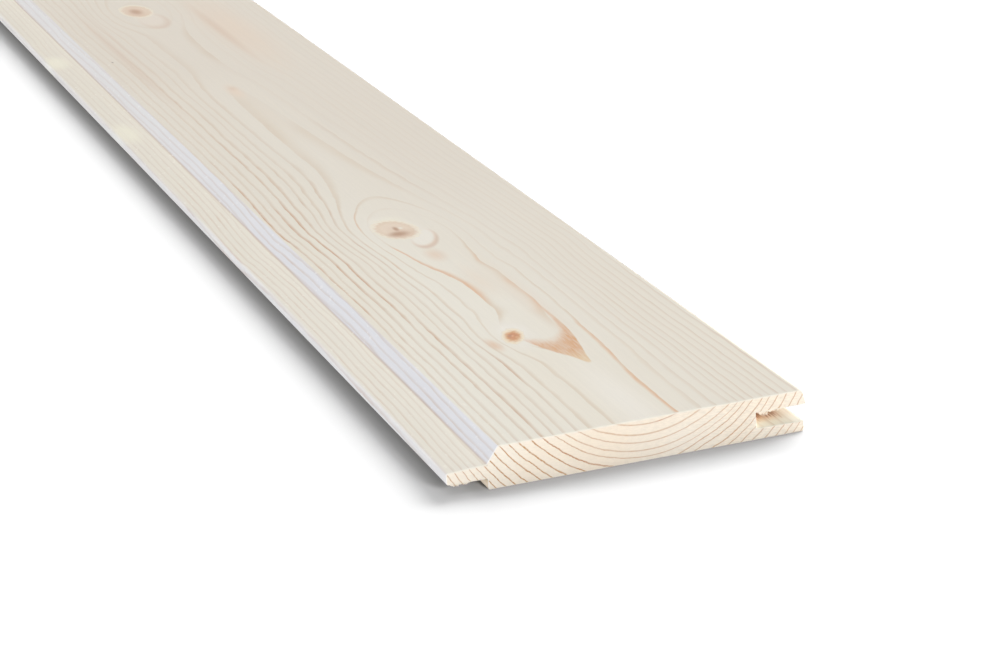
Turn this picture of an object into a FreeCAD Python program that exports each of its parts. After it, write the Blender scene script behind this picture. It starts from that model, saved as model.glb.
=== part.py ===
"""One softwood tongue and groove cladding board, planed to a V-jointed section and cut square at both ends.

Millimetres. X runs across the board from the tongue (-X) to the groove (+X), Y along its length and Z up from
the back to the show face. The origin is the middle of the back, halfway along. The board is milled from one
plank, so it is one solid: a section that stays the same over the whole length.
"""

import FreeCAD
import Part

import math
import os

# Overall sizes of the stock. The width is from the tongue's nose to the edge of the upper lip.
LENGTH = 2100.0
WIDTH = 121.0
THICKNESS = 14.0

# The tongue tapers from its root to its nose. It stands out by the same reach above and below.
TONGUE_REACH = 13.5
TONGUE_ROOT = 4.9
TONGUE_NOSE = 3.9
NOSE_DROOP = 0.4

# The groove takes the tongue of the next board with these clearances.
CLEAR_ABOVE_TONGUE = 0.5
CLEAR_BELOW_TONGUE = 0.1
CLEAR_AT_NOSE = 3.6
GROOVE_NARROWING = 0.2

# The lips either side of the groove. The lower one stops short, so that the joint closes at the face. The
# upper one has an upright land that meets the next board, and leans back by the slant above it.
UPPER_LIP = 5.0
LOWER_LIP_SETBACK = 1.0
LIP_LAND = 1.2
LIP_SLANT = 0.9

# The chamfer beside the tongue makes the V of the joint. It ends on the top of the tongue.
CHAMFER_RUN = 4.1

# Radii left by the cutters on the arrises and in the corners.
EASED_ARRIS = 1.5
NOSE_TOP_RADIUS = 1.0
NOSE_BOTTOM_RADIUS = 0.6
CHAMFER_ARRIS_RADIUS = 0.6
CORNER_RADIUS = 0.3
LIP_RADIUS = 0.3
BACK_ARRIS_RADIUS = 0.8

# Places across the board, from the nose of the tongue towards the groove.
nose_x = -WIDTH / 2
shoulder_x = nose_x + TONGUE_REACH
chamfer_top_x = shoulder_x + CHAMFER_RUN
upper_lip_x = WIDTH / 2
lower_lip_x = upper_lip_x - LOWER_LIP_SETBACK
face_edge_x = upper_lip_x - LIP_SLANT
groove_wall_x = upper_lip_x - TONGUE_REACH - CLEAR_AT_NOSE

# Heights above the back. The tongue hangs from the same level as the groove's upper side.
face_z = THICKNESS
groove_top_z = face_z - UPPER_LIP
tongue_top_z = groove_top_z - CLEAR_ABOVE_TONGUE
tongue_bottom_z = tongue_top_z - TONGUE_ROOT
groove_bottom_z = tongue_bottom_z - CLEAR_BELOW_TONGUE
nose_top_z = tongue_top_z - (TONGUE_ROOT - TONGUE_NOSE) / 2 - NOSE_DROOP / 2
nose_bottom_z = nose_top_z - TONGUE_NOSE


def section_corners():
    """The section's corners in order round the board, each as its place across, its height and its radius."""
    back = [
        (shoulder_x, 0.0, CORNER_RADIUS),
        (lower_lip_x, 0.0, BACK_ARRIS_RADIUS),
    ]
    groove = [
        (lower_lip_x, groove_bottom_z, LIP_RADIUS),
        (groove_wall_x, groove_bottom_z + GROOVE_NARROWING, CORNER_RADIUS),
        (groove_wall_x, groove_top_z, CORNER_RADIUS),
        (upper_lip_x, groove_top_z, LIP_RADIUS),
        (upper_lip_x, groove_top_z + LIP_LAND, LIP_RADIUS),
    ]
    face = [
        (face_edge_x, face_z, EASED_ARRIS),
        (chamfer_top_x, face_z, CHAMFER_ARRIS_RADIUS),
    ]
    tongue = [
        (shoulder_x, tongue_top_z, CORNER_RADIUS),
        (nose_x, nose_top_z, NOSE_TOP_RADIUS),
        (nose_x, nose_bottom_z, NOSE_BOTTOM_RADIUS),
        (shoulder_x, tongue_bottom_z, CORNER_RADIUS),
    ]
    return back + groove + face + tongue


def rounded_wire(corners, plane_y):
    """A closed wire of straight runs joined by tangent arcs, standing in the plane at plane_y."""
    count = len(corners)
    points = [FreeCAD.Vector(x, plane_y, z) for x, z, _ in corners]
    starts = []
    ends = []
    middles = []
    for index, (_, _, radius) in enumerate(corners):
        here = points[index]
        to_last = (points[index - 1] - here).normalize()
        to_next = (points[(index + 1) % count] - here).normalize()
        half_angle = to_last.getAngle(to_next) / 2
        tangent_length = radius / math.tan(half_angle)
        bisector = (to_last + to_next).normalize()
        starts.append(here + to_last * tangent_length)
        ends.append(here + to_next * tangent_length)
        middles.append(here + bisector * (radius / math.sin(half_angle) - radius))
    edges = []
    for index in range(count):
        arc = Part.Arc(starts[index], middles[index], ends[index])
        run = Part.LineSegment(ends[index], starts[(index + 1) % count])
        edges += [arc.toShape(), run.toShape()]
    return Part.Wire(edges)


def make_board():
    """The board: its section, moved along the whole length."""
    section = Part.Face(rounded_wire(section_corners(), -LENGTH / 2))
    return section.extrude(FreeCAD.Vector(0, LENGTH, 0))


def main():
    os.makedirs("parts", exist_ok=True)
    board = make_board()
    board.exportStep("parts/board.step")
    box = board.BoundBox
    print(f"board: valid {board.isValid()}, solids {len(board.Solids)}, volume {board.Volume / 1e6:.4f} litres")
    print(f"size: {box.XLength:.2f} x {box.YLength:.2f} x {box.ZLength:.2f}, lowest {box.ZMin:.3f}")


main()
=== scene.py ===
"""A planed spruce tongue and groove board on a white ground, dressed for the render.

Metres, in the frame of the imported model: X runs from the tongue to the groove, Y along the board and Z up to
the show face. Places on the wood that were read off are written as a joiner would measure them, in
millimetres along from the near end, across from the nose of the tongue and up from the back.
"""

import logging
import math
from dataclasses import dataclass, field
from enum import Enum

import bpy
from mathutils import Matrix, Vector


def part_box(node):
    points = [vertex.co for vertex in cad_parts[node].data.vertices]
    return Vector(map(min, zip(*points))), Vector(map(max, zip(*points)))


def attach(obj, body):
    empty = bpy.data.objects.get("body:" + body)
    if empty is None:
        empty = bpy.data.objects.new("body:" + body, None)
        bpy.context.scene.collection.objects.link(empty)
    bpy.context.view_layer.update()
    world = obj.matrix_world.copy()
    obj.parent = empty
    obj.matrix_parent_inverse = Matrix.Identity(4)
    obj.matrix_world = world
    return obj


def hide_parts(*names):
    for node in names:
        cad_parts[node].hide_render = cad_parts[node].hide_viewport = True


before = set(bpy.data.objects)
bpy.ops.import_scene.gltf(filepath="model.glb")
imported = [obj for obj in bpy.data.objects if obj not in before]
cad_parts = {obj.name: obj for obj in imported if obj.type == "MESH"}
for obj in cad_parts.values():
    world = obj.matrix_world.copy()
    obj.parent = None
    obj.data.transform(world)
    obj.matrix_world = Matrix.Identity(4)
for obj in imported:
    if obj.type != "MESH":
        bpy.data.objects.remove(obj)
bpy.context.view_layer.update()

LOG = logging.getLogger("tongue_and_groove_board")

MM = 0.001
BOARD_LOW, BOARD_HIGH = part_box("board")
BOARD_LENGTH = BOARD_HIGH[1] - BOARD_LOW[1]
BOARD_WIDTH = BOARD_HIGH[0] - BOARD_LOW[0]
BOARD_THICKNESS = BOARD_HIGH[2] - BOARD_LOW[2]

Colour = tuple[float, float, float]
Points = tuple[tuple[float, float], ...]
Socket = bpy.types.NodeSocket


def srgb(red: int, green: int, blue: int) -> Colour:
    """Turn a colour as it looks on a screen, 0 to 255, into the linear values that shaders take.

    Args:
        red: Red, 0 to 255.
        green: Green, 0 to 255.
        blue: Blue, 0 to 255.

    Returns:
        The three linear values, 0 to 1.
    """

    def linear(level: int) -> float:
        """Turn one level, 0 to 255, into its linear value."""
        share = level / 255
        return share / 12.92 if share <= 0.04045 else ((share + 0.055) / 1.055) ** 2.4

    return linear(red), linear(green), linear(blue)


@dataclass(frozen=True)
class Ramp:
    """A change from one number to another over a range, held past both ends.

    Attributes:
        low: Where the range starts.
        high: Where it ends.
        start: The number at its start.
        end: The number at its end.
    """

    low: float
    high: float
    start: float = 0.0
    end: float = 1.0


@dataclass(frozen=True)
class Streaks:
    """Smooth noise that is drawn out along the grain.

    Attributes:
        squeeze: What the place along the board is multiplied by before the noise is read.
        scale: How fine the noise is.
        detail: How many finer layers it has.
        roughness: How strong the finer layers are.
    """

    squeeze: float
    scale: float
    detail: float = 2.0
    roughness: float = 0.5


@dataclass(frozen=True)
class RingNoise:
    """Smooth noise that changes along the board and differs from ring to ring.

    Attributes:
        step: How far apart neighbouring rings lie in the noise.
        squeeze: What the place along the board is multiplied by before the noise is read.
        detail: How many finer layers the noise has.
        strength: What the noise is turned into.
    """

    step: float
    squeeze: float
    detail: float
    strength: Ramp


class NodeBench:
    """A node tree with one short method for each kind of node that the finishes and shapes are built from."""

    def __init__(self, tree: bpy.types.NodeTree) -> None:
        """Start on a tree that may be empty.

        Args:
            tree: A shader or geometry node tree.
        """
        self.tree = tree

    def add(self, kind: str, inputs: dict | None = None, **settings: object) -> bpy.types.Node:
        """Add a node, set it up and feed its inputs.

        Args:
            kind: Blender's name for the kind of node.
            inputs: Input name or number to a value or to the output that feeds it.
            **settings: Properties of the node itself.

        Returns:
            The new node.
        """
        node = self.tree.nodes.new(kind)
        for name, value in settings.items():
            setattr(node, name, value)
        for key, value in (inputs or {}).items():
            self.feed(node.inputs[key], value)
        return node

    def feed(self, socket: Socket, value: object) -> None:
        """Link an output to a socket, or set the socket's own value.

        Args:
            socket: The input to feed.
            value: The output that feeds it, or a plain value.
        """
        if isinstance(value, bpy.types.NodeSocket):
            self.tree.links.new(value, socket)
        else:
            socket.default_value = value

    def first(self, kind: str, inputs: dict | None = None, **settings: object) -> Socket:
        """Add a node and return its first output."""
        return self.add(kind, inputs, **settings).outputs[0]

    def math(self, operation: str, *values: object) -> Socket:
        """Work one sum on one to three values and return the result."""
        return self.first("ShaderNodeMath", dict(enumerate(values)), operation=operation)

    def times(self, product: object, *factors: object) -> Socket:
        """Multiply numbers together, one after another.

        Args:
            product: The first number.
            *factors: The numbers that it is multiplied by.

        Returns:
            The product.
        """
        for factor in factors:
            product = self.math("MULTIPLY", product, factor)
        return product

    def vector(self, operation: str, *values: object, output: int = 0) -> Socket:
        """Work one vector sum and return the result, or its number where output is 1."""
        return self.add("ShaderNodeVectorMath", dict(enumerate(values)), operation=operation).outputs[output]

    def combine(self, x: object, y: object, z: object) -> Socket:
        """Join three numbers into a vector."""
        return self.first("ShaderNodeCombineXYZ", {0: x, 1: y, 2: z})

    def separate(self, vector: Socket) -> tuple[Socket, Socket, Socket]:
        """Split a vector into its three numbers."""
        outputs = self.add("ShaderNodeSeparateXYZ", {0: vector}).outputs
        return outputs[0], outputs[1], outputs[2]

    def span(
        self, value: Socket, low: object, high: object, start: object = 0.0, end: object = 1.0
    ) -> Socket:
        """Carry a value from one range to another in a straight line, held past both ends."""
        inputs = {"Value": value, "From Min": low, "From Max": high, "To Min": start, "To Max": end}
        return self.first("ShaderNodeMapRange", inputs)

    def ease(
        self, value: Socket, low: object, high: object, start: object = 0.0, end: object = 1.0
    ) -> Socket:
        """Carry a value from one range to another with soft ends."""
        inputs = {"Value": value, "From Min": low, "From Max": high, "To Min": start, "To Max": end}
        return self.first("ShaderNodeMapRange", inputs, interpolation_type="SMOOTHSTEP")

    def slope(self, value: Socket, ramp: Ramp) -> Socket:
        """Carry a value along a ramp in a straight line."""
        return self.span(value, ramp.low, ramp.high, ramp.start, ramp.end)

    def ramp(self, value: Socket, ramp: Ramp) -> Socket:
        """Carry a value along a ramp with soft ends."""
        return self.ease(value, ramp.low, ramp.high, ramp.start, ramp.end)

    def within(self, value: Socket, rise: Ramp, fall: Ramp) -> Socket:
        """Give 1 for a value between two ramps, and 0 for one outside them."""
        return self.times(self.ramp(value, rise), self.ramp(value, fall))

    def either(self, share: Socket, first: object, second: object) -> Socket:
        """Give the first number where the share is 0, the second where it is 1, and a mix between."""
        return self.span(share, 0.0, 1.0, first, second)

    def follow(self, value: Socket, points: Points, straight: bool = False) -> Socket:
        """Read a curve through the given points.

        Args:
            value: Where along the curve to read.
            points: The curve's points, in rising order of their first number.
            straight: True for straight runs between the points, False for a smooth curve.

        Returns:
            The curve's height there, held past both ends.
        """
        left, right = points[0][0], points[-1][0]
        bottom = min(height for _, height in points)
        top = max(height for _, height in points)
        node = self.add("ShaderNodeFloatCurve", {"Value": self.span(value, left, right)})
        curve = node.mapping.curves[0]
        curve.points[0].location = (0.0, (points[0][1] - bottom) / (top - bottom))
        curve.points[1].location = (1.0, (points[-1][1] - bottom) / (top - bottom))
        for place, height in points[1:-1]:
            curve.points.new((place - left) / (right - left), (height - bottom) / (top - bottom))
        for point in curve.points:
            point.handle_type = "VECTOR" if straight else "AUTO"
        node.mapping.update()
        return self.span(node.outputs[0], 0.0, 1.0, bottom, top)

    def noise(self, place: Socket, scale: float, detail: float = 2.0, roughness: float = 0.5) -> Socket:
        """Read smooth noise, about 0.5 on average."""
        inputs = {"Vector": place, "Scale": scale, "Detail": detail, "Roughness": roughness}
        return self.first("ShaderNodeTexNoise", inputs)

    def streaks(self, place: Socket, streaks: Streaks) -> Socket:
        """Read noise that is drawn out along the grain, about 0.5 on average."""
        squeezed = self.vector("MULTIPLY", place, (1.0, streaks.squeeze, 1.0))
        return self.noise(squeezed, streaks.scale, streaks.detail, streaks.roughness)

    def swing(self, noise: Socket) -> Socket:
        """Shift noise so that it swings about 0."""
        return self.math("SUBTRACT", noise, 0.5)

    def blend(self, factor: object, first: object, second: object, mode: str = "MIX") -> Socket:
        """Mix two colours.

        Args:
            factor: How much of the second colour shows, 0 to 1.
            first: The colour underneath.
            second: The colour laid over it.
            mode: Blender's name for the way they mix.

        Returns:
            The mixed colour.
        """
        node = self.add("ShaderNodeMix", data_type="RGBA", blend_type=mode)
        for index, value in ((0, factor), (6, first), (7, second)):
            if isinstance(value, tuple):
                value = (*value, 1.0)
            self.feed(node.inputs[index], value)
        return node.outputs[2]

    def shade(self, colour: Socket, level: Socket) -> Socket:
        """Darken or lighten a colour by multiplying it by a number."""
        return self.blend(1.0, colour, self.combine(level, level, level), "MULTIPLY")


class Stain(Enum):
    """The colours that mark the wood, other than its rings."""

    RESIN = srgb(208, 157, 110)
    HONEY = srgb(219, 188, 142)
    PEACH = srgb(226, 188, 156)
    AMBER = srgb(212, 166, 122)
    UMBER = srgb(178, 142, 114)
    # Umber is also laid as painted shade in the crease above the tongue.
    BARK = srgb(176, 124, 92)
    HEARTWOOD = srgb(196, 160, 132)
    TAN = srgb(222, 203, 182)
    CREAM = srgb(237, 232, 221)
    BUTTER = srgb(236, 230, 208)
    PITCH = srgb(112, 92, 76)
    EARLY = srgb(231, 225, 212)
    # The colour of the pale flecks, and also of the painted highlight along the arrises.
    FLECK_AND_HIGHLIGHT = srgb(249, 243, 230)


class KnotKind(Enum):
    """What a cut branch looks like, as stops from its heart outwards: place, colour and cover."""

    TIGHT_RED = (
        (0.0, srgb(206, 144, 98), 1.0),
        (0.22, srgb(192, 130, 84), 1.0),
        (0.4, srgb(200, 142, 96), 1.0),
        (0.54, srgb(214, 171, 126), 0.95),
        (0.66, srgb(228, 204, 170), 0.85),
        (0.84, srgb(236, 224, 197), 0.8),
        (0.93, srgb(226, 212, 192), 0.45),
        (1.0, srgb(228, 218, 204), 0.0),
    )
    SOUND_TAN = (
        (0.0, srgb(219, 197, 174), 0.95),
        (0.5, srgb(224, 205, 183), 0.95),
        (0.7, srgb(218, 196, 170), 0.9),
        (0.8, srgb(226, 208, 184), 0.7),
        (0.9, srgb(236, 228, 206), 0.65),
        (0.97, srgb(226, 214, 194), 0.3),
        (1.0, srgb(230, 220, 204), 0.0),
    )


class Side(Enum):
    """The two sides of the log's heart."""

    TONGUE = -1.0
    GROOVE = 1.0


@dataclass(frozen=True)
class Oval:
    """An oval on the show face, which goes on through the board along the lean of the branches.

    Attributes:
        along: Its middle, from the near end.
        across: Its middle, from the nose of the tongue.
        half_length: Half its size along the board.
        half_width: Half its size across the board.
        turn: Its turn in degrees, seen from above.
    """

    along: float
    across: float
    half_length: float
    half_width: float
    turn: float = field(default=0.0, kw_only=True)

    def share(self, bench: NodeBench, branch: Socket) -> Socket:
        """Measure how far a place is from the oval's middle.

        Args:
            bench: The tree to build in.
            branch: The place, slid along the lean of the branches.

        Returns:
            The distance as a share of the oval's size, 1 being its edge.
        """
        off = bench.vector("SUBTRACT", branch, (self.across, self.along, 0.0))
        if self.turn:
            sine, cosine = math.sin(math.radians(self.turn)), math.cos(math.radians(self.turn))
            over = (cosine / self.half_width, sine / self.half_width, 0.0)
            onward = (-sine / self.half_length, cosine / self.half_length, 0.0)
            aside = bench.vector("DOT_PRODUCT", off, over, output=1)
            ahead = bench.vector("DOT_PRODUCT", off, onward, output=1)
            scaled = bench.combine(aside, ahead, 0.0)
        else:
            scaled = bench.vector("MULTIPLY", off, (1.0 / self.half_width, 1.0 / self.half_length, 0.0))
        return bench.vector("LENGTH", scaled, output=1)


@dataclass(frozen=True)
class Mark(Oval):
    """A soft oval of colour on the wood.

    Attributes:
        stain: Its colour.
        strength: How much of the colour shows in the middle.
        softness: The share of its size over which it fades out.
    """

    stain: Stain
    strength: float
    softness: float = 0.6

    def lay(self, bench: NodeBench, wood: Socket, branch: Socket) -> Socket:
        """Lay the mark over the wood."""
        cover = bench.ease(self.share(bench, branch), 1.0 - self.softness, 1.0, self.strength, 0.0)
        return bench.blend(cover, wood, self.stain.value)


@dataclass(frozen=True)
class Knot(Oval):
    """A branch that the board was sawn through.

    Attributes:
        kind: What it looks like.
    """

    kind: KnotKind

    def lay(self, bench: NodeBench, wood: Socket, branch: Socket, ragged: Socket) -> Socket:
        """Lay the knot over the wood, with its own rings of colour.

        Args:
            bench: The tree to build in.
            wood: The wood's colour under the knot.
            branch: The place, slid along the lean of the branches.
            ragged: How much the knot's edge is moved.

        Returns:
            The wood's colour with the knot.
        """
        ramp = bench.add("ShaderNodeValToRGB", {0: bench.math("ADD", self.share(bench, branch), ragged)})
        stops = self.kind.value
        elements = ramp.color_ramp.elements
        elements[0].position, elements[1].position = stops[0][0], stops[-1][0]
        for place, _, _ in stops[1:-1]:
            elements.new(place)
        for element, (_, colour, cover) in zip(elements, stops, strict=True):
            element.color = (*colour, cover)
        return bench.blend(ramp.outputs[1], wood, ramp.outputs[0])


@dataclass(frozen=True)
class Push(Oval):
    """A place where a branch or a swelling pushes the rings outwards.

    Attributes:
        depth: How far it pushes them.
    """

    depth: float


@dataclass(frozen=True)
class BoldStretch:
    """A length over which the late wood of one ring is darker.

    Attributes:
        ring: The ring's number, counted from the heart.
        side: The side of the heart.
        start: Where the stretch starts along the board.
        end: Where it ends.
        gain: How much darker it is.
    """

    ring: int
    side: Side
    start: float
    end: float
    gain: float


@dataclass(frozen=True)
class Here:
    """The place in the wood that is being coloured, in joiner's millimetres.

    Attributes:
        place: Across, along and up as one vector.
        branch: The same place on the show face, slid there along the lean of the branches.
        across: How far it is from the nose of the tongue.
        along: How far it is from the near end.
        up: How far it is from the back.
        sawn: 1 on the sawn ends and 0 on the planed sides.
    """

    place: Socket
    branch: Socket
    across: Socket
    along: Socket
    up: Socket
    sawn: Socket


@dataclass(frozen=True)
class Rings:
    """The rings of the log, as a solid that any cut shows rightly.

    The log's heart lies above the show face. Its height is given over that face and its place across from the
    nose of the tongue, each against the place along the board. The outer rings of both sides have centres of
    their own, and lean away from a true circle by an amount given against their radius. The grain wanders by
    streaks of noise, each given with how far it moves the rings. The innermost ring ends at the first radius,
    and heart_ring gives the share of it that is reached at two places inside that.
    """

    heart_height: Points = (
        (0, 30.9), (30, 31.0), (60, 30.75), (85, 30.5), (125, 29.85), (141, 29.45), (150, 29.34),
        (160, 29.38), (180, 29.25), (200, 28.95), (212, 29.1), (226, 29.85), (240, 30.4), (270, 31.2),
        (300, 32.3), (322, 33.15), (345, 34.3), (370, 35.0), (400, 35.3), (450, 35.6), (500, 35.9),
        (540, 36.15), (555, 36.4), (580, 37.1), (615, 37.75), (660, 37.7), (700, 37.4), (740, 36.6),
        (800, 36.0), (860, 35.6), (960, 36.3), (1060, 36.8), (1170, 35.2), (1280, 33.4), (1390, 32.3),
        (1500, 33.4), (1610, 35.2), (1740, 33.6), (1860, 32.2), (1980, 33.6), (2100, 34.8),
    )
    heart_across: Points = (
        (0, 66.8), (55, 67.4), (90, 68.3), (140, 68.3), (160, 68.5), (180, 68.6), (200, 66.6),
        (214, 66.2), (240, 66.3), (270, 65.8), (330, 65.7), (360, 66.2), (400, 65.4), (450, 64.0),
        (500, 63.0), (555, 62.0), (620, 61.6), (660, 61.2), (700, 62.0), (740, 62.5), (920, 63.5),
        (1080, 66.0), (1240, 64.0), (1400, 61.0), (1600, 63.5), (1800, 66.5), (2000, 63.5), (2100, 62.0),
    )
    tongue_side_across: Points = (
        (0, 67.0), (30, 67.4), (80, 68.4), (125, 69.0), (180, 70.2), (210, 70.0), (240, 69.0),
        (270, 67.8), (300, 66.6), (400, 66.8), (500, 66.5), (540, 66.0), (580, 64.8), (660, 63.8),
        (700, 63.2), (760, 64.6), (900, 66.0), (1200, 67.5), (1500, 65.0), (1800, 68.0), (2100, 66.0),
    )
    groove_side_across: Points = (
        (0, 68.0), (60, 67.9), (100, 67.2), (150, 66.9), (200, 67.3), (240, 68.5), (300, 68.4),
        (340, 67.8), (400, 67.6), (500, 67.0), (700, 66.8), (1000, 68.0), (1400, 66.0), (1800, 68.0),
        (2100, 67.0),
    )
    outer_rings: Ramp = Ramp(14.0, 30.0)
    outer_side: Ramp = Ramp(-10.0, 10.0)
    lean_to_tongue: Points = ((40, 0.0), (46.9, -0.55), (50, -1.05), (55, -1.3), (63, -1.9), (74, -2.45))
    lean_to_groove: Points = ((34, 0.0), (42, 0.2), (45, 1.3), (50, 2.0), (54, 2.6), (59, 2.3), (75, 2.0))
    lean_side: Ramp = Ramp(-12.0, 12.0)
    lean_start: Ramp = Ramp(6.0, 20.0)
    wander: tuple[tuple[Streaks, float], ...] = (
        (Streaks(1 / 4.5, 0.055, 1.0), 0.9),
        (Streaks(1 / 5.0, 0.3, 1.0), 0.6),
        (Streaks(1 / 7.0, 0.9, 1.0), 0.3),
    )
    wander_start: Ramp = Ramp(4.0, 18.0, 0.16, 1.0)
    pushes: tuple[Push, ...] = (
        Push(107.8, 57.0, 38.0, 21.0, 2.5),
        Push(146.0, 76.0, 62.0, 8.5, 0.45),
        Push(262.0, 60.5, 68.0, 36.0, 5.6, turn=4.0),
        Push(766.0, 60.4, 72.0, 36.0, 4.6),
        Push(1186.0, 62.0, 60.0, 32.0, 4.0),
        Push(1352.0, 84.0, 30.0, 16.0, 1.8),
        Push(1622.0, 56.0, 66.0, 34.0, 4.4),
        Push(1908.0, 66.0, 34.0, 18.0, 2.4),
    )
    radii: tuple[float, ...] = (
        30.3, 33.0, 36.4, 38.9, 41.6, 43.7, 46.4, 48.7, 51.7, 54.2, 56.6, 59.1, 61.5, 63.8, 65.9, 67.8,
        69.7, 72.0, 74.2, 76.5, 79.0, 82.0,
    )
    heart_ring: Points = ((-4.0, 0.0), (-0.65, 0.7))
    late_start: Points = ((29.6, 0.66), (30.8, 0.68), (32.6, 0.74), (35.0, 0.66), (39.0, 0.54))
    late_full: float = 0.93
    late_start_sawn: float = 0.79
    late_full_sawn: float = 0.88
    late_close: Ramp = Ramp(0.965, 1.0, 1.0, 0.0)
    ring_strength: Points = (
        (30.3, 0.72), (33.0, 0.6), (36.4, 0.62), (38.9, 0.7), (41.6, 0.6), (43.7, 0.66), (46.4, 0.78),
        (48.7, 0.78), (51.7, 0.72), (54.2, 0.6), (56.6, 0.7), (59.1, 0.56), (61.5, 0.66), (65.9, 0.56),
        (69.7, 0.72), (82.0, 0.66),
    )
    patches: RingNoise = RingNoise(7.31, 0.011, 1.0, Ramp(0.3, 0.7, 0.84, 1.24))
    breaks: RingNoise = RingNoise(3.7, 0.045, 2.0, Ramp(0.3, 0.7, 0.8, 1.15))
    lines_side: Ramp = Ramp(-12.0, 8.0)
    tongue_side_lines: Points = (
        (0, 0.95), (130, 0.9), (300, 0.95), (430, 0.75), (560, 0.66), (740, 0.46), (1000, 0.9),
        (2100, 0.9),
    )
    groove_side_lines: Points = (
        (0, 0.7), (70, 0.6), (150, 0.46), (230, 0.32), (340, 0.14), (560, 0.12), (860, 0.3), (1040, 0.8),
        (1300, 0.85), (1600, 0.6), (1900, 0.85), (2100, 0.8),
    )
    bold_side: Ramp = Ramp(-2.0, 5.0)
    bold_fade: float = 32.0
    bold_stretches: tuple[BoldStretch, ...] = (
        BoldStretch(1, Side.GROOVE, -60.0, 134.0, 0.56),
        BoldStretch(1, Side.GROOVE, 100.0, 210.0, 0.28),
        BoldStretch(0, Side.GROOVE, 60.0, 128.0, -0.6),
        BoldStretch(0, Side.GROOVE, 104.0, 256.0, 0.5),
        BoldStretch(0, Side.GROOVE, 262.0, 340.0, -0.5),
        BoldStretch(0, Side.TONGUE, 140.0, 256.0, 0.5),
        BoldStretch(0, Side.TONGUE, 232.0, 340.0, -0.5),
        BoldStretch(1, Side.TONGUE, 250.0, 330.0, 0.28),
        BoldStretch(1, Side.GROOVE, 280.0, 350.0, 0.5),
        BoldStretch(2, Side.GROOVE, 310.0, 480.0, 0.3),
        BoldStretch(3, Side.GROOVE, 300.0, 480.0, 0.3),
        BoldStretch(3, Side.TONGUE, 34.0, 104.0, 0.3),
        BoldStretch(6, Side.TONGUE, -60.0, 110.0, 0.1),
        BoldStretch(7, Side.TONGUE, 134.0, 352.0, 0.3),
        BoldStretch(8, Side.TONGUE, 150.0, 352.0, 0.16),
        BoldStretch(10, Side.TONGUE, 150.0, 440.0, 0.22),
        BoldStretch(7, Side.TONGUE, 352.0, 640.0, 0.16),
        BoldStretch(10, Side.GROOVE, -60.0, 150.0, 0.16),
        BoldStretch(12, Side.GROOVE, -60.0, 180.0, 0.2),
        BoldStretch(3, Side.GROOVE, 600.0, 720.0, 0.4),
        BoldStretch(2, Side.TONGUE, 420.0, 568.0, 0.12),
        BoldStretch(2, Side.TONGUE, 1010.0, 1180.0, 0.3),
        BoldStretch(7, Side.TONGUE, 960.0, 1420.0, 0.25),
        BoldStretch(10, Side.GROOVE, 1100.0, 1700.0, 0.2),
        BoldStretch(1, Side.GROOVE, 1400.0, 1660.0, 0.3),
        BoldStretch(6, Side.TONGUE, 1560.0, 2050.0, 0.25),
    )

    def radius(self, bench: NodeBench, here: Here) -> tuple[Socket, Socket]:
        """Measure the distance from the log's heart, with the wander of the grain and the push of the knots.

        Args:
            bench: The tree to build in.
            here: The place in the wood.

        Returns:
            The distance, and how far across the board the place lies from the heart.
        """
        off_middle = bench.math("SUBTRACT", here.across, self.heart_across[0][1])
        outer = bench.ramp(bench.math("ABSOLUTE", off_middle), self.outer_rings)
        tongue_heart = bench.follow(here.along, self.tongue_side_across)
        groove_heart = bench.follow(here.along, self.groove_side_across)
        outer_heart = bench.either(bench.ramp(off_middle, self.outer_side), tongue_heart, groove_heart)
        heart = bench.either(outer, bench.follow(here.along, self.heart_across), outer_heart)
        beside = bench.math("SUBTRACT", here.across, heart)
        above = bench.math("SUBTRACT", here.up, BOARD_THICKNESS / MM)
        below = bench.math("SUBTRACT", bench.follow(here.along, self.heart_height), above)
        distance = bench.vector("LENGTH", bench.combine(beside, below, 0.0), output=1)
        lean_tongue = bench.follow(distance, self.lean_to_tongue)
        lean_groove = bench.follow(distance, self.lean_to_groove)
        lean = bench.either(bench.ramp(beside, self.lean_side), lean_tongue, lean_groove)
        aside = bench.math("ABSOLUTE", beside)
        distance = bench.math("MULTIPLY_ADD", lean, bench.ramp(aside, self.lean_start), distance)
        away = bench.ramp(aside, self.wander_start)
        for streaks, reach in self.wander:
            wander = bench.times(bench.swing(bench.streaks(here.place, streaks)), away)
            distance = bench.math("MULTIPLY_ADD", wander, reach, distance)
        for push in self.pushes:
            depth = bench.ease(push.share(bench, here.branch), 0.0, 1.0, push.depth, 0.0)
            distance = bench.math("SUBTRACT", distance, depth)
        return distance, beside

    def ring_share(self, bench: NodeBench, radius: Socket) -> tuple[Socket, Socket]:
        """Find the ring that a radius lies in.

        Args:
            bench: The tree to build in.
            radius: The distance from the heart.

        Returns:
            The number of the ring, and how far through that ring the place is.
        """
        numbers = [(self.radii[0] + inside, number) for inside, number in self.heart_ring]
        numbers += [(edge, number + 1.0) for number, edge in enumerate(self.radii)]
        count = bench.follow(radius, tuple(numbers), straight=True)
        return bench.math("FLOOR", count), bench.math("FRACT", count)

    def late_wood(self, bench: NodeBench, radius: Socket, share: Socket, sawn: Socket) -> Socket:
        """Draw the dark late wood that closes each ring, thin and crisp where the wood is cut across.

        Args:
            bench: The tree to build in.
            radius: The distance from the heart.
            share: How far through its ring the place is.
            sawn: 1 on the sawn ends.

        Returns:
            How much of the late wood shows, 0 to 1.
        """
        start = bench.either(sawn, bench.follow(radius, self.late_start), self.late_start_sawn)
        full = bench.either(sawn, self.late_full, self.late_full_sawn)
        return bench.times(bench.ease(share, start, full), bench.ramp(share, self.late_close))

    def ring_noise(self, bench: NodeBench, ring: Socket, along: Socket, noise: RingNoise) -> Socket:
        """Give each ring its own changes of strength along the board."""
        place = bench.combine(bench.times(ring, noise.step), bench.times(along, noise.squeeze), 0.0)
        return bench.slope(bench.noise(place, 1.0, noise.detail), noise.strength)

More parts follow.
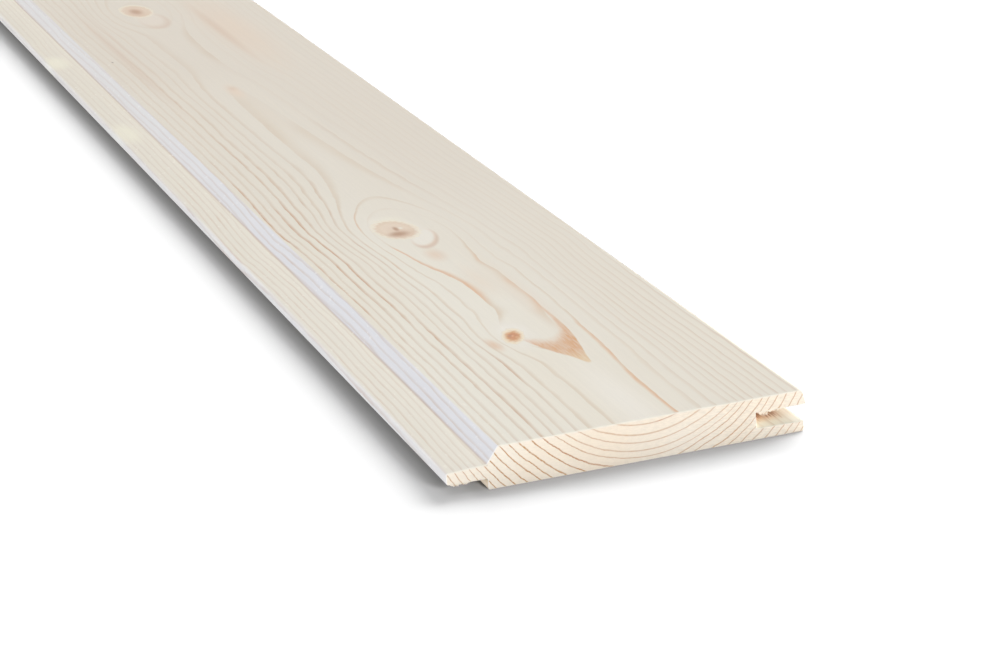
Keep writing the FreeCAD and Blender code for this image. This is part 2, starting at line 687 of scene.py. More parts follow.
    def strength(self, bench: NodeBench, here: Here, radius: Socket, ring: Socket, beside: Socket) -> Socket:
        """Say how dark each ring's late wood is, which changes from ring to ring and along the board.

        Args:
            bench: The tree to build in.
            here: The place in the wood.
            radius: The distance from the heart.
            ring: The number of the ring.
            beside: How far across the board the place lies from the heart.

        Returns:
            The strength, about 0 to 1.
        """
        tongue_side = bench.follow(here.along, self.tongue_side_lines)
        groove_side = bench.follow(here.along, self.groove_side_lines)
        fade = bench.either(bench.ramp(beside, self.lines_side), tongue_side, groove_side)
        patches = self.ring_noise(bench, ring, here.along, self.patches)
        strength = bench.times(bench.follow(radius, self.ring_strength), patches, fade)
        for stretch in self.bold_stretches:
            this_ring = bench.math("COMPARE", ring, float(stretch.ring), 0.5)
            this_side = bench.ramp(bench.times(beside, stretch.side.value), self.bold_side)
            started = bench.ease(here.along, stretch.start, stretch.start + self.bold_fade)
            ended = bench.ease(here.along, stretch.end - self.bold_fade, stretch.end, 1.0, 0.0)
            reach = bench.times(started, ended, this_side, this_ring)
            strength = bench.math("MULTIPLY_ADD", reach, stretch.gain, strength)
        return bench.times(strength, self.ring_noise(bench, ring, here.along, self.breaks))


@dataclass(frozen=True)
class GrooveWood:
    """The wood inside the groove behind the near end: torn fibres whose orange is partly painted warm glow of
    light bouncing in the groove, and painted shade deeper in.

    Its sizes run along the board, except those that are named for their height or their place across.
    """

    planed: Colour = srgb(240, 238, 226)
    # The torn orange is partly the torn fibres' own colour and partly painted warm glow of light bouncing in
    # the groove. The shade below is painted shade deeper in the groove.
    torn: Colour = srgb(230, 180, 124)
    shade: Colour = srgb(150, 92, 50)
    floor_height: Ramp = Ramp(3.3, 3.45)
    roof_height: Ramp = Ramp(9.05, 9.2, 1.0, 0.0)
    wall_across: Ramp = Ramp(102.0, 103.5)
    reach: Ramp = Ramp(24.0, 60.0, 1.0, 0.0)
    torn_and_glow_start: Ramp = Ramp(3.5, 12.0, 0.0, 0.7)
    torn_and_glow_across: Ramp = Ramp(108.0, 119.0, 1.0, 0.3)
    tear: Streaks = Streaks(0.06, 1.6, 1.0)
    tear_length: float = 18.0
    shade_start: Ramp = Ramp(7.5, 14.0, 0.0, 0.85)
    shade_across: Ramp = Ramp(113.0, 117.0, 1.0, 0.0)

    def lay(self, bench: NodeBench, wood: Socket, here: Here) -> tuple[Socket, Socket]:
        """Lay the groove's wood, with its painted glow and painted shade, over the wood of the board.

        Args:
            bench: The tree to build in.
            wood: The wood's colour outside the groove.
            here: The place in the wood.

        Returns:
            The wood's colour, and 1 inside the groove.
        """
        inside = bench.times(
            bench.ramp(here.up, self.floor_height),
            bench.ramp(here.up, self.roof_height),
            bench.ramp(here.across, self.wall_across),
        )
        reach = bench.ramp(here.along, self.reach)
        # The torn orange further in is partly painted warm glow.
        torn = bench.times(bench.ramp(here.along, self.torn_and_glow_start), bench.ramp(here.across, self.torn_and_glow_across))
        groove = bench.blend(bench.times(torn, reach), self.planed, self.torn)
        ragged = bench.swing(bench.streaks(here.place, self.tear))
        depth = bench.math("MULTIPLY_ADD", ragged, self.tear_length, here.along)
        # Painted shade deeper along the groove, made ragged by the tears.
        shade = bench.times(bench.ramp(depth, self.shade_start), reach)
        shade = bench.times(shade, bench.ramp(here.across, self.shade_across))
        groove = bench.blend(shade, groove, self.shade)
        return bench.blend(inside, wood, groove), inside


@dataclass(frozen=True)
class ResinFlame:
    """The tongue of resin that runs out from the first knot on the show face.

    Both edges are given as places along the board against the place across it.
    """

    near_edge: Points = (
        (58.2, 101.0), (58.9, 98.4), (61.6, 88.5), (65.0, 78.8), (67.5, 73.0), (70.7, 64.0), (72.0, 72.0),
        (73.6, 82.0), (75.6, 97.0), (76.7, 112.0), (77.2, 132.0),
    )
    far_edge: Points = (
        (58.2, 100.5), (61.0, 98.6), (66.3, 94.6), (70.4, 97.5), (73.3, 105.0), (74.9, 115.0),
        (75.8, 128.0), (77.2, 160.0),
    )
    near_fade: Ramp = Ramp(-0.6, 2.4)
    far_fade: Ramp = Ramp(-6.0, 7.0)
    tongue_side: Ramp = Ramp(58.0, 59.4)
    groove_side: Ramp = Ramp(76.4, 77.2, 1.0, 0.0)
    depth: Ramp = Ramp(9.0, 13.0)
    wave: Streaks = Streaks(0.35, 0.5)
    wave_reach: float = 4.0
    licks: Streaks = Streaks(0.09, 1.4, 2.0, 0.6)
    lick_cover: Ramp = Ramp(0.34, 0.68, 1.0, 0.56)
    tail_cover: Ramp = Ramp(98.0, 116.0, 1.0, 0.66)
    tip: Ramp = Ramp(66.0, 84.0)

    def lay(self, bench: NodeBench, wood: Socket, here: Here) -> Socket:
        """Lay the resin over the wood.

        Args:
            bench: The tree to build in.
            wood: The wood's colour.
            here: The place in the wood.

        Returns:
            The wood's colour with the resin.
        """
        wave = bench.swing(bench.streaks(here.place, self.wave))
        along = bench.math("MULTIPLY_ADD", wave, self.wave_reach, here.along)
        past_near = bench.math("SUBTRACT", along, bench.follow(here.across, self.near_edge))
        before_far = bench.math("SUBTRACT", bench.follow(here.across, self.far_edge), along)
        cover = bench.times(
            bench.ramp(past_near, self.near_fade),
            bench.ramp(before_far, self.far_fade),
            bench.ramp(here.across, self.tongue_side),
            bench.ramp(here.across, self.groove_side),
            bench.ramp(here.up, self.depth),
            bench.slope(bench.streaks(here.place, self.licks), self.lick_cover),
            bench.ramp(here.along, self.tail_cover),
        )
        resin = bench.blend(bench.ramp(here.along, self.tip), Stain.HONEY.value, Stain.RESIN.value)
        return bench.blend(cover, wood, resin)


@dataclass(frozen=True)
class LateLines:
    """How the late wood's lines look on the planed sides and on the sawn ends."""

    pale: Colour = srgb(202, 183, 159)
    deep: Colour = srgb(190, 149, 110)
    heart_pale: Colour = srgb(206, 188, 162)
    heart_deep: Colour = srgb(213, 174, 137)
    sawn_pale: Colour = srgb(194, 140, 76)
    sawn_deep: Colour = srgb(184, 116, 48)
    heart_radius: Ramp = Ramp(34.6, 38.0, 1.0, 0.0)
    deepening: Ramp = Ramp(0.6, 1.05)
    least_planed: float = 0.12
    least_sawn: float = 0.9
    fibre_cover: Ramp = Ramp(0.2, 0.8, 0.75, 1.15)
    tongue_cover: Ramp = Ramp(12.5, 20.0, 0.66, 1.0)
    groove_cover: float = 0.6
    sawn_radius_cover: Ramp = Ramp(42.0, 48.0, 0.66, 0.92)
    sawn_score_cover: Ramp = Ramp(0.3, 0.7, 0.7, 1.2)
    sawn_across_cover: Points = (
        (0, 0.76), (13, 0.76), (15, 1.0), (42, 1.0), (50, 0.84), (66, 0.9), (78, 0.76), (96, 0.86),
        (105, 0.7), (121, 0.7),
    )

    def colour(self, bench: NodeBench, strength: Socket, radius: Socket, sawn: Socket) -> Socket:
        """Give the colour of the lines, richer where they are strong.

        Args:
            bench: The tree to build in.
            strength: How dark the ring's late wood is.
            radius: The distance from the heart.
            sawn: 1 on the sawn ends.

        Returns:
            The colour.
        """
        deep = bench.ramp(strength, self.deepening)
        line = bench.blend(deep, self.pale, self.deep)
        heart_line = bench.blend(deep, self.heart_pale, self.heart_deep)
        line = bench.blend(bench.ramp(radius, self.heart_radius), line, heart_line)
        return bench.blend(sawn, line, bench.blend(deep, self.sawn_pale, self.sawn_deep))

    def cover(
        self,
        bench: NodeBench,
        here: Here,
        late: Socket,
        strength: Socket,
        radius: Socket,
        fibre: Socket,
        saw: Socket,
    ) -> Socket:
        """Say how much of a line's colour shows.

        Args:
            bench: The tree to build in.
            here: The place in the wood.
            late: How much late wood there is.
            strength: How dark the ring's late wood is.
            radius: The distance from the heart.
            fibre: The streaks of the fibres.
            saw: The scores of the saw.

        Returns:
            The share of the colour, before the groove takes some away.
        """
        least = bench.either(here.sawn, self.least_planed, self.least_sawn)
        shown = bench.times(late, bench.either(strength, least, 1.0), bench.slope(fibre, self.fibre_cover))
        on_end = bench.times(
            bench.ramp(radius, self.sawn_radius_cover),
            bench.slope(saw, self.sawn_score_cover),
            bench.follow(here.across, self.sawn_across_cover, straight=True),
        )
        return bench.times(shown, bench.either(here.sawn, bench.ramp(here.across, self.tongue_cover), on_end))


@dataclass(frozen=True)
class SpruceLog:
    """The wood of the board: its early wood, the lines of its rings, what marks it, and the light and shade
    painted on it.
    """

    rings: Rings = Rings()
    lines: LateLines = LateLines()
    groove: GrooveWood = GrooveWood()
    flame: ResinFlame = ResinFlame()
    early_wood: Colour = srgb(232, 227, 213)
    early_wood_warm: Colour = srgb(230, 223, 207)
    tones: Streaks = Streaks(0.16, 0.03)
    tone_change: Ramp = Ramp(0.35, 0.7)
    # Partly painted shade: the wood darkens away from the near end over its first 640 mm, which stands in for
    # light falling off, and changes by tone beyond that. It also darkens towards the groove side.
    shaded_heart_side_wood: Colour = srgb(218, 209, 194)
    shade_and_tone_stretches: Points = (
        (0, 0.0), (100, 0.06), (240, 0.26), (330, 0.5), (440, 0.66), (560, 0.8), (640, 1.0), (800, 0.95),
        (960, 0.4), (1150, 0.2), (1400, 0.6), (1700, 0.2), (2100, 0.5),
    )
    groove_side_darkening: Ramp = Ramp(55.0, 100.0, 0.0, 0.36)
    edge_wood: Colour = srgb(233, 226, 210)
    edge_wood_far_shaded: Colour = srgb(226, 218, 201)
    edge_across: Ramp = Ramp(16.5, 18.5, 1.0, 0.0)
    # Painted cool light on the chamfer: a paler, bluer colour that stands in for the cool light from the
    # tongue side, fading along the board.
    chamfer_painted_cool_light: Colour = srgb(228, 224, 216)
    chamfer_foot: Ramp = Ramp(13.4, 13.7)
    chamfer_top: Ramp = Ramp(17.2, 17.7, 1.0, 0.0)
    chamfer_cool_light_cover: Ramp = Ramp(180.0, 640.0, 0.85, 0.4)
    # Painted light on the shoulder wall under the tongue, which the tongue shades: a pale warm colour.
    shoulder_painted_light: Colour = srgb(252, 228, 186)
    shoulder_height: Ramp = Ramp(3.4, 3.7, 1.0, 0.0)
    shoulder_across: Ramp = Ramp(13.6, 14.0, 1.0, 0.0)
    # The sawn end's colour is partly its own and partly painted light: paler than the planed sides, it stands
    # in for the brighter light on the end.
    end_grain_lit: Colour = srgb(252, 242, 227)
    end_grain_warm_lit: Colour = srgb(252, 238, 219)
    coarse_fibres: Streaks = Streaks(0.02, 0.75, 3.0, 0.62)
    fine_fibres: Streaks = Streaks(0.05, 3.0, 2.0, 0.6)
    fine_share: float = 0.6
    fibre_shade: Ramp = Ramp(0.2, 0.8, 0.965, 1.03)
    saw_slant: float = 14.0
    saw_scale: tuple[float, float, float] = (0.5, 0.0, 2.6)
    saw_shade: Ramp = Ramp(0.3, 0.7, 0.1, -0.06)
    saw_across: Ramp = Ramp(60.0, 100.0, 0.35, 1.0)
    branch_lean_across: float = 0.27
    branch_lean_along: float = 0.16
    knots: tuple[Knot, ...] = (
        Knot(107.5, 57.0, 10.2, 4.4, KnotKind.TIGHT_RED, turn=-13.0),
        Knot(266.4, 59.8, 17.2, 9.0, KnotKind.SOUND_TAN, turn=5.0),
        Knot(767.0, 60.4, 20.0, 8.4, KnotKind.SOUND_TAN, turn=4.0),
        Knot(1186.0, 62.0, 13.0, 6.4, KnotKind.SOUND_TAN, turn=6.0),
        Knot(1352.0, 84.0, 7.0, 4.2, KnotKind.TIGHT_RED),
        Knot(1622.0, 56.0, 16.0, 7.6, KnotKind.SOUND_TAN, turn=-10.0),
        Knot(1908.0, 66.0, 8.6, 5.0, KnotKind.TIGHT_RED),
    )
    knot_noise: float = 0.55
    knot_noise_detail: float = 3.0
    knot_raggedness: float = 0.5
    marks: tuple[Mark, ...] = (
        Mark(20.0, 67.0, 72.0, 10.5, Stain.CREAM, 0.6, 1.0),
        Mark(109.0, 58.0, 26.0, 8.6, Stain.EARLY, 1.0, 0.6),
        Mark(113.0, 58.6, 11.0, 6.4, Stain.CREAM, 0.7, 0.9),
        Mark(101.0, 48.2, 11.4, 3.1, Stain.RESIN, 0.54, 1.0, turn=3.0),
        Mark(100.0, 49.6, 5.0, 1.6, Stain.TAN, 0.6, 1.0, turn=3.0),
        Mark(268.0, 60.5, 24.0, 11.0, Stain.EARLY, 0.9, 0.5, turn=10.0),
        Mark(281.0, 60.6, 9.0, 9.4, Stain.BUTTER, 0.5, 1.0, turn=10.0),
        Mark(223.0, 63.2, 14.0, 5.6, Stain.TAN, 1.0, 1.0),
        Mark(246.6, 66.2, 15.8, 5.9, Stain.HEARTWOOD, 0.6, 0.3, turn=-13.0),
        Mark(249.0, 66.1, 15.4, 5.7, Stain.TAN, 0.5, 0.3, turn=-13.0),
        Mark(250.2, 66.0, 14.8, 5.4, Stain.EARLY, 1.0, 0.34, turn=-13.0),
        Mark(736.0, 63.4, 26.0, 8.6, Stain.HEARTWOOD, 0.34, 0.3),
        Mark(741.0, 62.4, 26.0, 8.4, Stain.EARLY, 0.5, 0.5),
        Mark(546.0, 61.6, 24.0, 5.2, Stain.TAN, 0.9, 1.0),
        Mark(553.0, 62.0, 8.0, 3.4, Stain.HEARTWOOD, 0.24, 1.0),
        Mark(150.0, 75.0, 90.0, 7.0, Stain.TAN, 0.36, 1.0),
        Mark(690.0, 94.0, 150.0, 18.0, Stain.TAN, 0.74, 1.0),
        Mark(690.0, 87.4, 110.0, 4.0, Stain.HEARTWOOD, 0.34, 1.0),
        Mark(180.0, 67.4, 34.0, 6.0, Stain.TAN, 0.36, 1.0),
        Mark(650.0, 31.0, 190.0, 4.0, Stain.HEARTWOOD, 0.3, 1.0),
        Mark(690.0, 36.0, 170.0, 1.8, Stain.HEARTWOOD, 0.16, 1.0),
        Mark(520.0, 6.0, 30.0, 8.0, Stain.BUTTER, 0.9, 0.8),
        Mark(694.0, 6.0, 24.0, 8.0, Stain.BUTTER, 0.9, 0.8),
        Mark(649.3, 24.3, 2.2, 0.45, Stain.PITCH, 0.8, 0.6, turn=8.0),
    )
    marks_on_end: float = 0.15
    knot_details: tuple[Mark, ...] = (
        Mark(108.6, 56.2, 2.4, 1.5, Stain.BARK, 0.7, 0.9, turn=-15.0),
        Mark(107.8, 56.9, 0.9, 0.6, Stain.PEACH, 0.6, 0.8),
        Mark(105.9, 57.9, 1.8, 1.1, Stain.AMBER, 0.7, 0.9, turn=-15.0),
        Mark(259.4, 60.2, 9.4, 7.6, Stain.HEARTWOOD, 0.6, 1.0, turn=-20.0),
        Mark(259.6, 59.2, 5.4, 5.6, Stain.UMBER, 1.0, 0.9, turn=-45.0),
        Mark(267.4, 60.2, 5.0, 1.5, Stain.UMBER, 0.95, 0.8),
        Mark(267.6, 62.2, 2.6, 1.3, Stain.EARLY, 0.8, 0.9),
        Mark(765.0, 59.8, 19.0, 7.0, Stain.HEARTWOOD, 0.8, 1.0),
        Mark(765.6, 59.8, 11.0, 3.6, Stain.UMBER, 0.8, 0.95, turn=4.0),
        Mark(1185.0, 61.6, 4.0, 2.6, Stain.HEARTWOOD, 0.8, 0.95),
        Mark(1624.0, 56.3, 5.0, 2.2, Stain.BARK, 0.6, 0.9),
    )
    # Painted shade in the crease between the tongue and the chamfer.
    crease_shade_foot: Ramp = Ramp(12.7, 13.4)
    crease_shade_top: Ramp = Ramp(13.5, 14.0, 1.0, 0.0)
    crease_shade_height: Ramp = Ramp(7.6, 8.2, 0.0, 0.4)
    flecks: Streaks = Streaks(0.3, 0.85, 1.0)
    fleck_cover: Ramp = Ramp(0.66, 0.74, 0.0, 0.36)
    fleck_across: Ramp = Ramp(13.0, 40.0, 1.0, 0.0)
    end_top: Points = ((0, 7.8), (13.5, 8.5), (17.6, 14.0), (119.5, 14.0), (121, 13.2))
    # Painted highlight along the arrises: a pale line on the sides next to both ends, and along the top edge
    # of the sawn ends.
    arris_highlight_on_side: Ramp = Ramp(0.15, 0.6, 0.8, 0.0)
    arris_highlight_on_end: Ramp = Ramp(0.1, 0.9, 0.7, 0.0)
    late_relief: float = 0.6
    fibre_relief: float = 0.5
    late_gloss: float = -0.08
    fibre_roughness: Ramp = Ramp(0.2, 0.8, 0.52, 0.64)

    def find_place(self, bench: NodeBench, sawn: Socket) -> Here:
        """Give the place in the wood, from the object's own coordinates.

        Args:
            bench: The tree to build in.
            sawn: 1 on the sawn ends.

        Returns:
            The place, also slid along the lean of the branches, so that a knot goes right through the board.
        """
        local = bench.add("ShaderNodeTexCoord").outputs["Object"]
        start = tuple(-low / MM for low in BOARD_LOW)
        place = bench.vector("MULTIPLY_ADD", local, (1 / MM, 1 / MM, 1 / MM), start)
        across, along, up = bench.separate(place)
        depth = bench.math("SUBTRACT", BOARD_THICKNESS / MM, up)
        aside = bench.times(depth, self.branch_lean_across)
        ahead = bench.times(depth, -self.branch_lean_along)
        shift = bench.combine(aside, ahead, bench.times(up, -1.0))
        return Here(place, bench.vector("ADD", place, shift), across, along, up, sawn)

    def fibre(self, bench: NodeBench, place: Socket) -> Socket:
        """Give the fine streaks of the fibres, about 0.5 on average."""
        fine = bench.swing(bench.streaks(place, self.fine_fibres))
        return bench.math("MULTIPLY_ADD", fine, self.fine_share, bench.streaks(place, self.coarse_fibres))

    def saw_scores(self, bench: NodeBench, place: Socket) -> Socket:
        """Give the slanting scores of the saw's teeth on a sawn end.

        Args:
            bench: The tree to build in.
            place: The place in the wood.

        Returns:
            The scores, about 0.5 on average.
        """
        turn = (0.0, math.radians(self.saw_slant), 0.0)
        turned = bench.add("ShaderNodeMapping", {"Vector": place, "Rotation": turn, "Scale": self.saw_scale})
        return bench.noise(turned.outputs[0], 1.0, 1.0)

    def early(self, bench: NodeBench, here: Here) -> tuple[Socket, Socket]:
        """Colour the early wood, which changes across the section and along the board, with light and shade
        painted on it.

        Args:
            bench: The tree to build in.
            here: The place in the wood.

        Returns:
            The early wood's colour, and 1 inside the groove.
        """
        tone = bench.ramp(bench.streaks(here.place, self.tones), self.tone_change)
        wood = bench.blend(tone, self.early_wood, self.early_wood_warm)
        # Darker away from the near end, partly painted shade of light falling off, and darker towards the
        # groove side.
        darker_share = bench.follow(here.along, self.shade_and_tone_stretches)
        darker_share = bench.math("ADD", darker_share, bench.ramp(here.across, self.groove_side_darkening))
        wood = bench.blend(darker_share, wood, self.shaded_heart_side_wood)
        edge = bench.blend(darker_share, self.edge_wood, self.edge_wood_far_shaded)
        wood = bench.blend(bench.ramp(here.across, self.edge_across), wood, edge)
        # Painted cool light on the chamfer, fading along the board.
        chamfer = bench.within(here.across, self.chamfer_foot, self.chamfer_top)
        chamfer = bench.times(chamfer, bench.ramp(here.along, self.chamfer_cool_light_cover))
        wood = bench.blend(chamfer, wood, self.chamfer_painted_cool_light)
        # Painted light on the shoulder wall under the tongue.
        shoulder_light_share = bench.ramp(here.up, self.shoulder_height)
        shoulder_light_share = bench.times(shoulder_light_share, bench.ramp(here.across, self.shoulder_across))
        wood = bench.blend(shoulder_light_share, wood, self.shoulder_painted_light)
        wood, in_groove = self.groove.lay(bench, wood, here)
        # The sawn end's colour, partly painted light.
        end_grain_lit = bench.blend(tone, self.end_grain_lit, self.end_grain_warm_lit)
        return bench.blend(here.sawn, wood, end_grain_lit), in_groove

    def mark(self, bench: NodeBench, wood: Socket, here: Here) -> Socket:
        """Lay the stains, the resin and the knots over the wood, and painted shade in the crease above the
        tongue.

        Args:
            bench: The tree to build in.
            wood: The wood's colour.
            here: The place in the wood.

        Returns:
            The wood's colour, with painted shade in the crease above the tongue.
        """
        marked = wood
        for mark in self.marks:
            marked = mark.lay(bench, marked, here.branch)
        wood = bench.blend(bench.ease(here.sawn, 0.0, 1.0, 1.0, self.marks_on_end), wood, marked)
        wood = self.flame.lay(bench, wood, here)
        ragged = bench.swing(bench.noise(here.branch, self.knot_noise, self.knot_noise_detail))
        ragged = bench.times(ragged, self.knot_raggedness)
        for knot in self.knots:
            wood = knot.lay(bench, wood, here.branch, ragged)
        for detail in self.knot_details:
            wood = detail.lay(bench, wood, here.branch)
        # Painted shade in the crease between the tongue and the chamfer.
        corner = bench.within(here.across, self.crease_shade_foot, self.crease_shade_top)
        corner = bench.times(corner, bench.ramp(here.up, self.crease_shade_height))
        return bench.blend(corner, wood, Stain.UMBER.value)

    def tool_marks(self, bench: NodeBench, wood: Socket, here: Here, fibre: Socket, saw: Socket) -> Socket:
        """Lay the flecks, the fibres' streaks and the saw's scores over the wood, and then a painted highlight
        along its arrises.

        Args:
            bench: The tree to build in.
            wood: The wood's colour.
            here: The place in the wood.
            fibre: The streaks of the fibres.
            saw: The scores of the saw.

        Returns:
            The wood's colour.
        """
        fleck = bench.ramp(bench.streaks(here.place, self.flecks), self.fleck_cover)
        fleck = bench.times(fleck, bench.ramp(here.across, self.fleck_across))
        fleck = bench.times(fleck, bench.ease(here.sawn, 0.0, 1.0, 1.0, 0.0))
        wood = bench.blend(fleck, wood, Stain.FLECK_AND_HIGHLIGHT.value)
        wood = bench.shade(wood, bench.slope(fibre, self.fibre_shade))
        cut = bench.times(here.sawn, bench.slope(saw, self.saw_shade))
        cut = bench.times(cut, bench.ramp(here.across, self.saw_across))
        wood = bench.shade(wood, bench.math("SUBTRACT", 1.0, cut))
        # Painted highlight along the arrises.
        to_end = bench.math("MINIMUM", here.along, bench.math("SUBTRACT", BOARD_LENGTH / MM, here.along))
        below_top = bench.math("SUBTRACT", bench.follow(here.across, self.end_top, straight=True), here.up)
        on_side = bench.ramp(to_end, self.arris_highlight_on_side)
        on_end = bench.ramp(below_top, self.arris_highlight_on_end)
        return bench.blend(bench.either(here.sawn, on_side, on_end), wood, Stain.FLECK_AND_HIGHLIGHT.value)

    def build(self) -> bpy.types.NodeTree:
        """Make the node group that both finishes of the board read.

        Returns:
            A shader group with the input Sawn End and the outputs Colour, Relief and Roughness.
        """
        tree = bpy.data.node_groups.new("spruce_log", "ShaderNodeTree")
        tree.interface.new_socket("Sawn End", in_out="INPUT", socket_type="NodeSocketFloat")
        tree.interface.new_socket("Colour", in_out="OUTPUT", socket_type="NodeSocketColor")
        tree.interface.new_socket("Relief", in_out="OUTPUT", socket_type="NodeSocketFloat")
        tree.interface.new_socket("Roughness", in_out="OUTPUT", socket_type="NodeSocketFloat")
        bench = NodeBench(tree)
        here = self.find_place(bench, bench.add("NodeGroupInput").outputs["Sawn End"])

        radius, beside = self.rings.radius(bench, here)
        ring, share = self.rings.ring_share(bench, radius)
        late = self.rings.late_wood(bench, radius, share, here.sawn)
        strength = self.rings.strength(bench, here, radius, ring, beside)
        fibre = self.fibre(bench, here.place)

        early, in_groove = self.early(bench, here)
        line = self.lines.colour(bench, strength, radius, here.sawn)
        saw = self.saw_scores(bench, here.place)
        shown = self.lines.cover(bench, here, late, strength, radius, fibre, saw)
        shown = bench.times(shown, bench.ease(in_groove, 0.0, 1.0, 1.0, self.lines.groove_cover))
        wood = bench.blend(bench.span(shown, 0.0, 1.0), early, line)
        wood = self.mark(bench, wood, here)
        wood = self.tool_marks(bench, wood, here, fibre, saw)

        relief = bench.math("MULTIPLY_ADD", late, self.late_relief, bench.times(fibre, self.fibre_relief))
        rough = bench.math("MULTIPLY_ADD", late, self.late_gloss, bench.slope(fibre, self.fibre_roughness))
        bench.add("NodeGroupOutput", {"Colour": wood, "Relief": relief, "Roughness": rough})
        return tree


def blank_material(name: str) -> tuple[bpy.types.Material, NodeBench]:
    """Start a material that has no nodes.

    Args:
        name: The material's name.

    Returns:
        The material, and the bench to build its nodes on.
    """
    material = bpy.data.materials.new(name)
    material.use_nodes = True
    material.node_tree.nodes.clear()
    return material, NodeBench(material.node_tree)


@dataclass(frozen=True)
class WoodFinish:
    """How one kind of cut shows the wood.

    Attributes:
        name: The material's name.
        sawn_end: 1 where the wood is cut across, 0 where it is planed along the grain.
        relief: The height of the grain's relief, in metres.
        specular: The shader's specular level.
    """

    name: str
    sawn_end: float
    relief: float
    specular: float

    def build(self, log: bpy.types.NodeTree) -> bpy.types.Material:
        """Make the material.

        Args:
            log: The group that gives the wood's colour and relief at each place.

        Returns:
            A material that reads only the object's own coordinates.
        """
        material, bench = blank_material(self.name)
        wood = bench.add("ShaderNodeGroup", node_tree=log)
        bench.feed(wood.inputs["Sawn End"], self.sawn_end)
        relief = {"Strength": 1.0, "Distance": self.relief, "Height": wood.outputs["Relief"]}
        surface = {
            "Base Color": wood.outputs["Colour"],
            "Roughness": wood.outputs["Roughness"],
            "Specular IOR Level": self.specular,
            "Normal": bench.first("ShaderNodeBump", relief),
        }
        shader = bench.first("ShaderNodeBsdfPrincipled", surface)
        bench.add("ShaderNodeOutputMaterial", {"Surface": shader})
        return material


PLANED_FACE = WoodFinish("planed_spruce", sawn_end=0.0, relief=0.00002, specular=0.3)
SAWN_END = WoodFinish("sawn_spruce_end", sawn_end=1.0, relief=0.000015, specular=0.15)


class TreeInput(Enum):
    """The kinds of named input that a geometry tree takes."""

    NUMBER = "NodeSocketFloat"
    COUNT = "NodeSocketInt"
    MATERIAL = "NodeSocketMaterial"


def geometry_tree(name: str, inputs: dict[str, TreeInput]) -> bpy.types.NodeTree:
    """Start a geometry tree with a mesh coming in, named inputs and a mesh going out.

    Args:
        name: The tree's name.
        inputs: Each input's name and kind.

    Returns:
        The empty tree.
    """
    tree = bpy.data.node_groups.new(name, "GeometryNodeTree")
    tree.interface.new_socket("Geometry", in_out="INPUT", socket_type="NodeSocketGeometry")
    for label, kind in inputs.items():
        tree.interface.new_socket(label, in_out="INPUT", socket_type=kind.value)
    tree.interface.new_socket("Geometry", in_out="OUTPUT", socket_type="NodeSocketGeometry")
    return tree


def grow(
    name: str, base: bpy.types.Mesh, tree: bpy.types.NodeTree, values: dict[str, object]
) -> bpy.types.Object:
    """Run a geometry tree on a mesh and keep the result as a plain mesh.

    Args:
        name: The name of the piece.
        base: The mesh that the tree starts from.
        tree: The geometry tree.
        values: Each named input's value.

    Returns:
        A new object at the origin, with no modifier.
    """
    seed = bpy.data.objects.new(f"{name}_base", base)
    bpy.context.scene.collection.objects.link(seed)
    modifier = seed.modifiers.new(tree.name, "NODES")
    modifier.node_group = tree
    identifiers = {item.name: item.identifier for item in tree.interface.items_tree if item.in_out == "INPUT"}
    for label, value in values.items():
        modifier[identifiers[label]] = value
    evaluated = seed.evaluated_get(bpy.context.evaluated_depsgraph_get())
    mesh = bpy.data.meshes.new_from_object(evaluated)
    mesh.name = name
    bpy.data.objects.remove(seed)
    piece = bpy.data.objects.new(name, mesh)
    bpy.context.scene.collection.objects.link(piece)
    return piece


@dataclass(frozen=True)
class Corner:
    """One corner of the board's section, in millimetres from the nose of the tongue and from the back."""

    across: float
    up: float
    radius: float


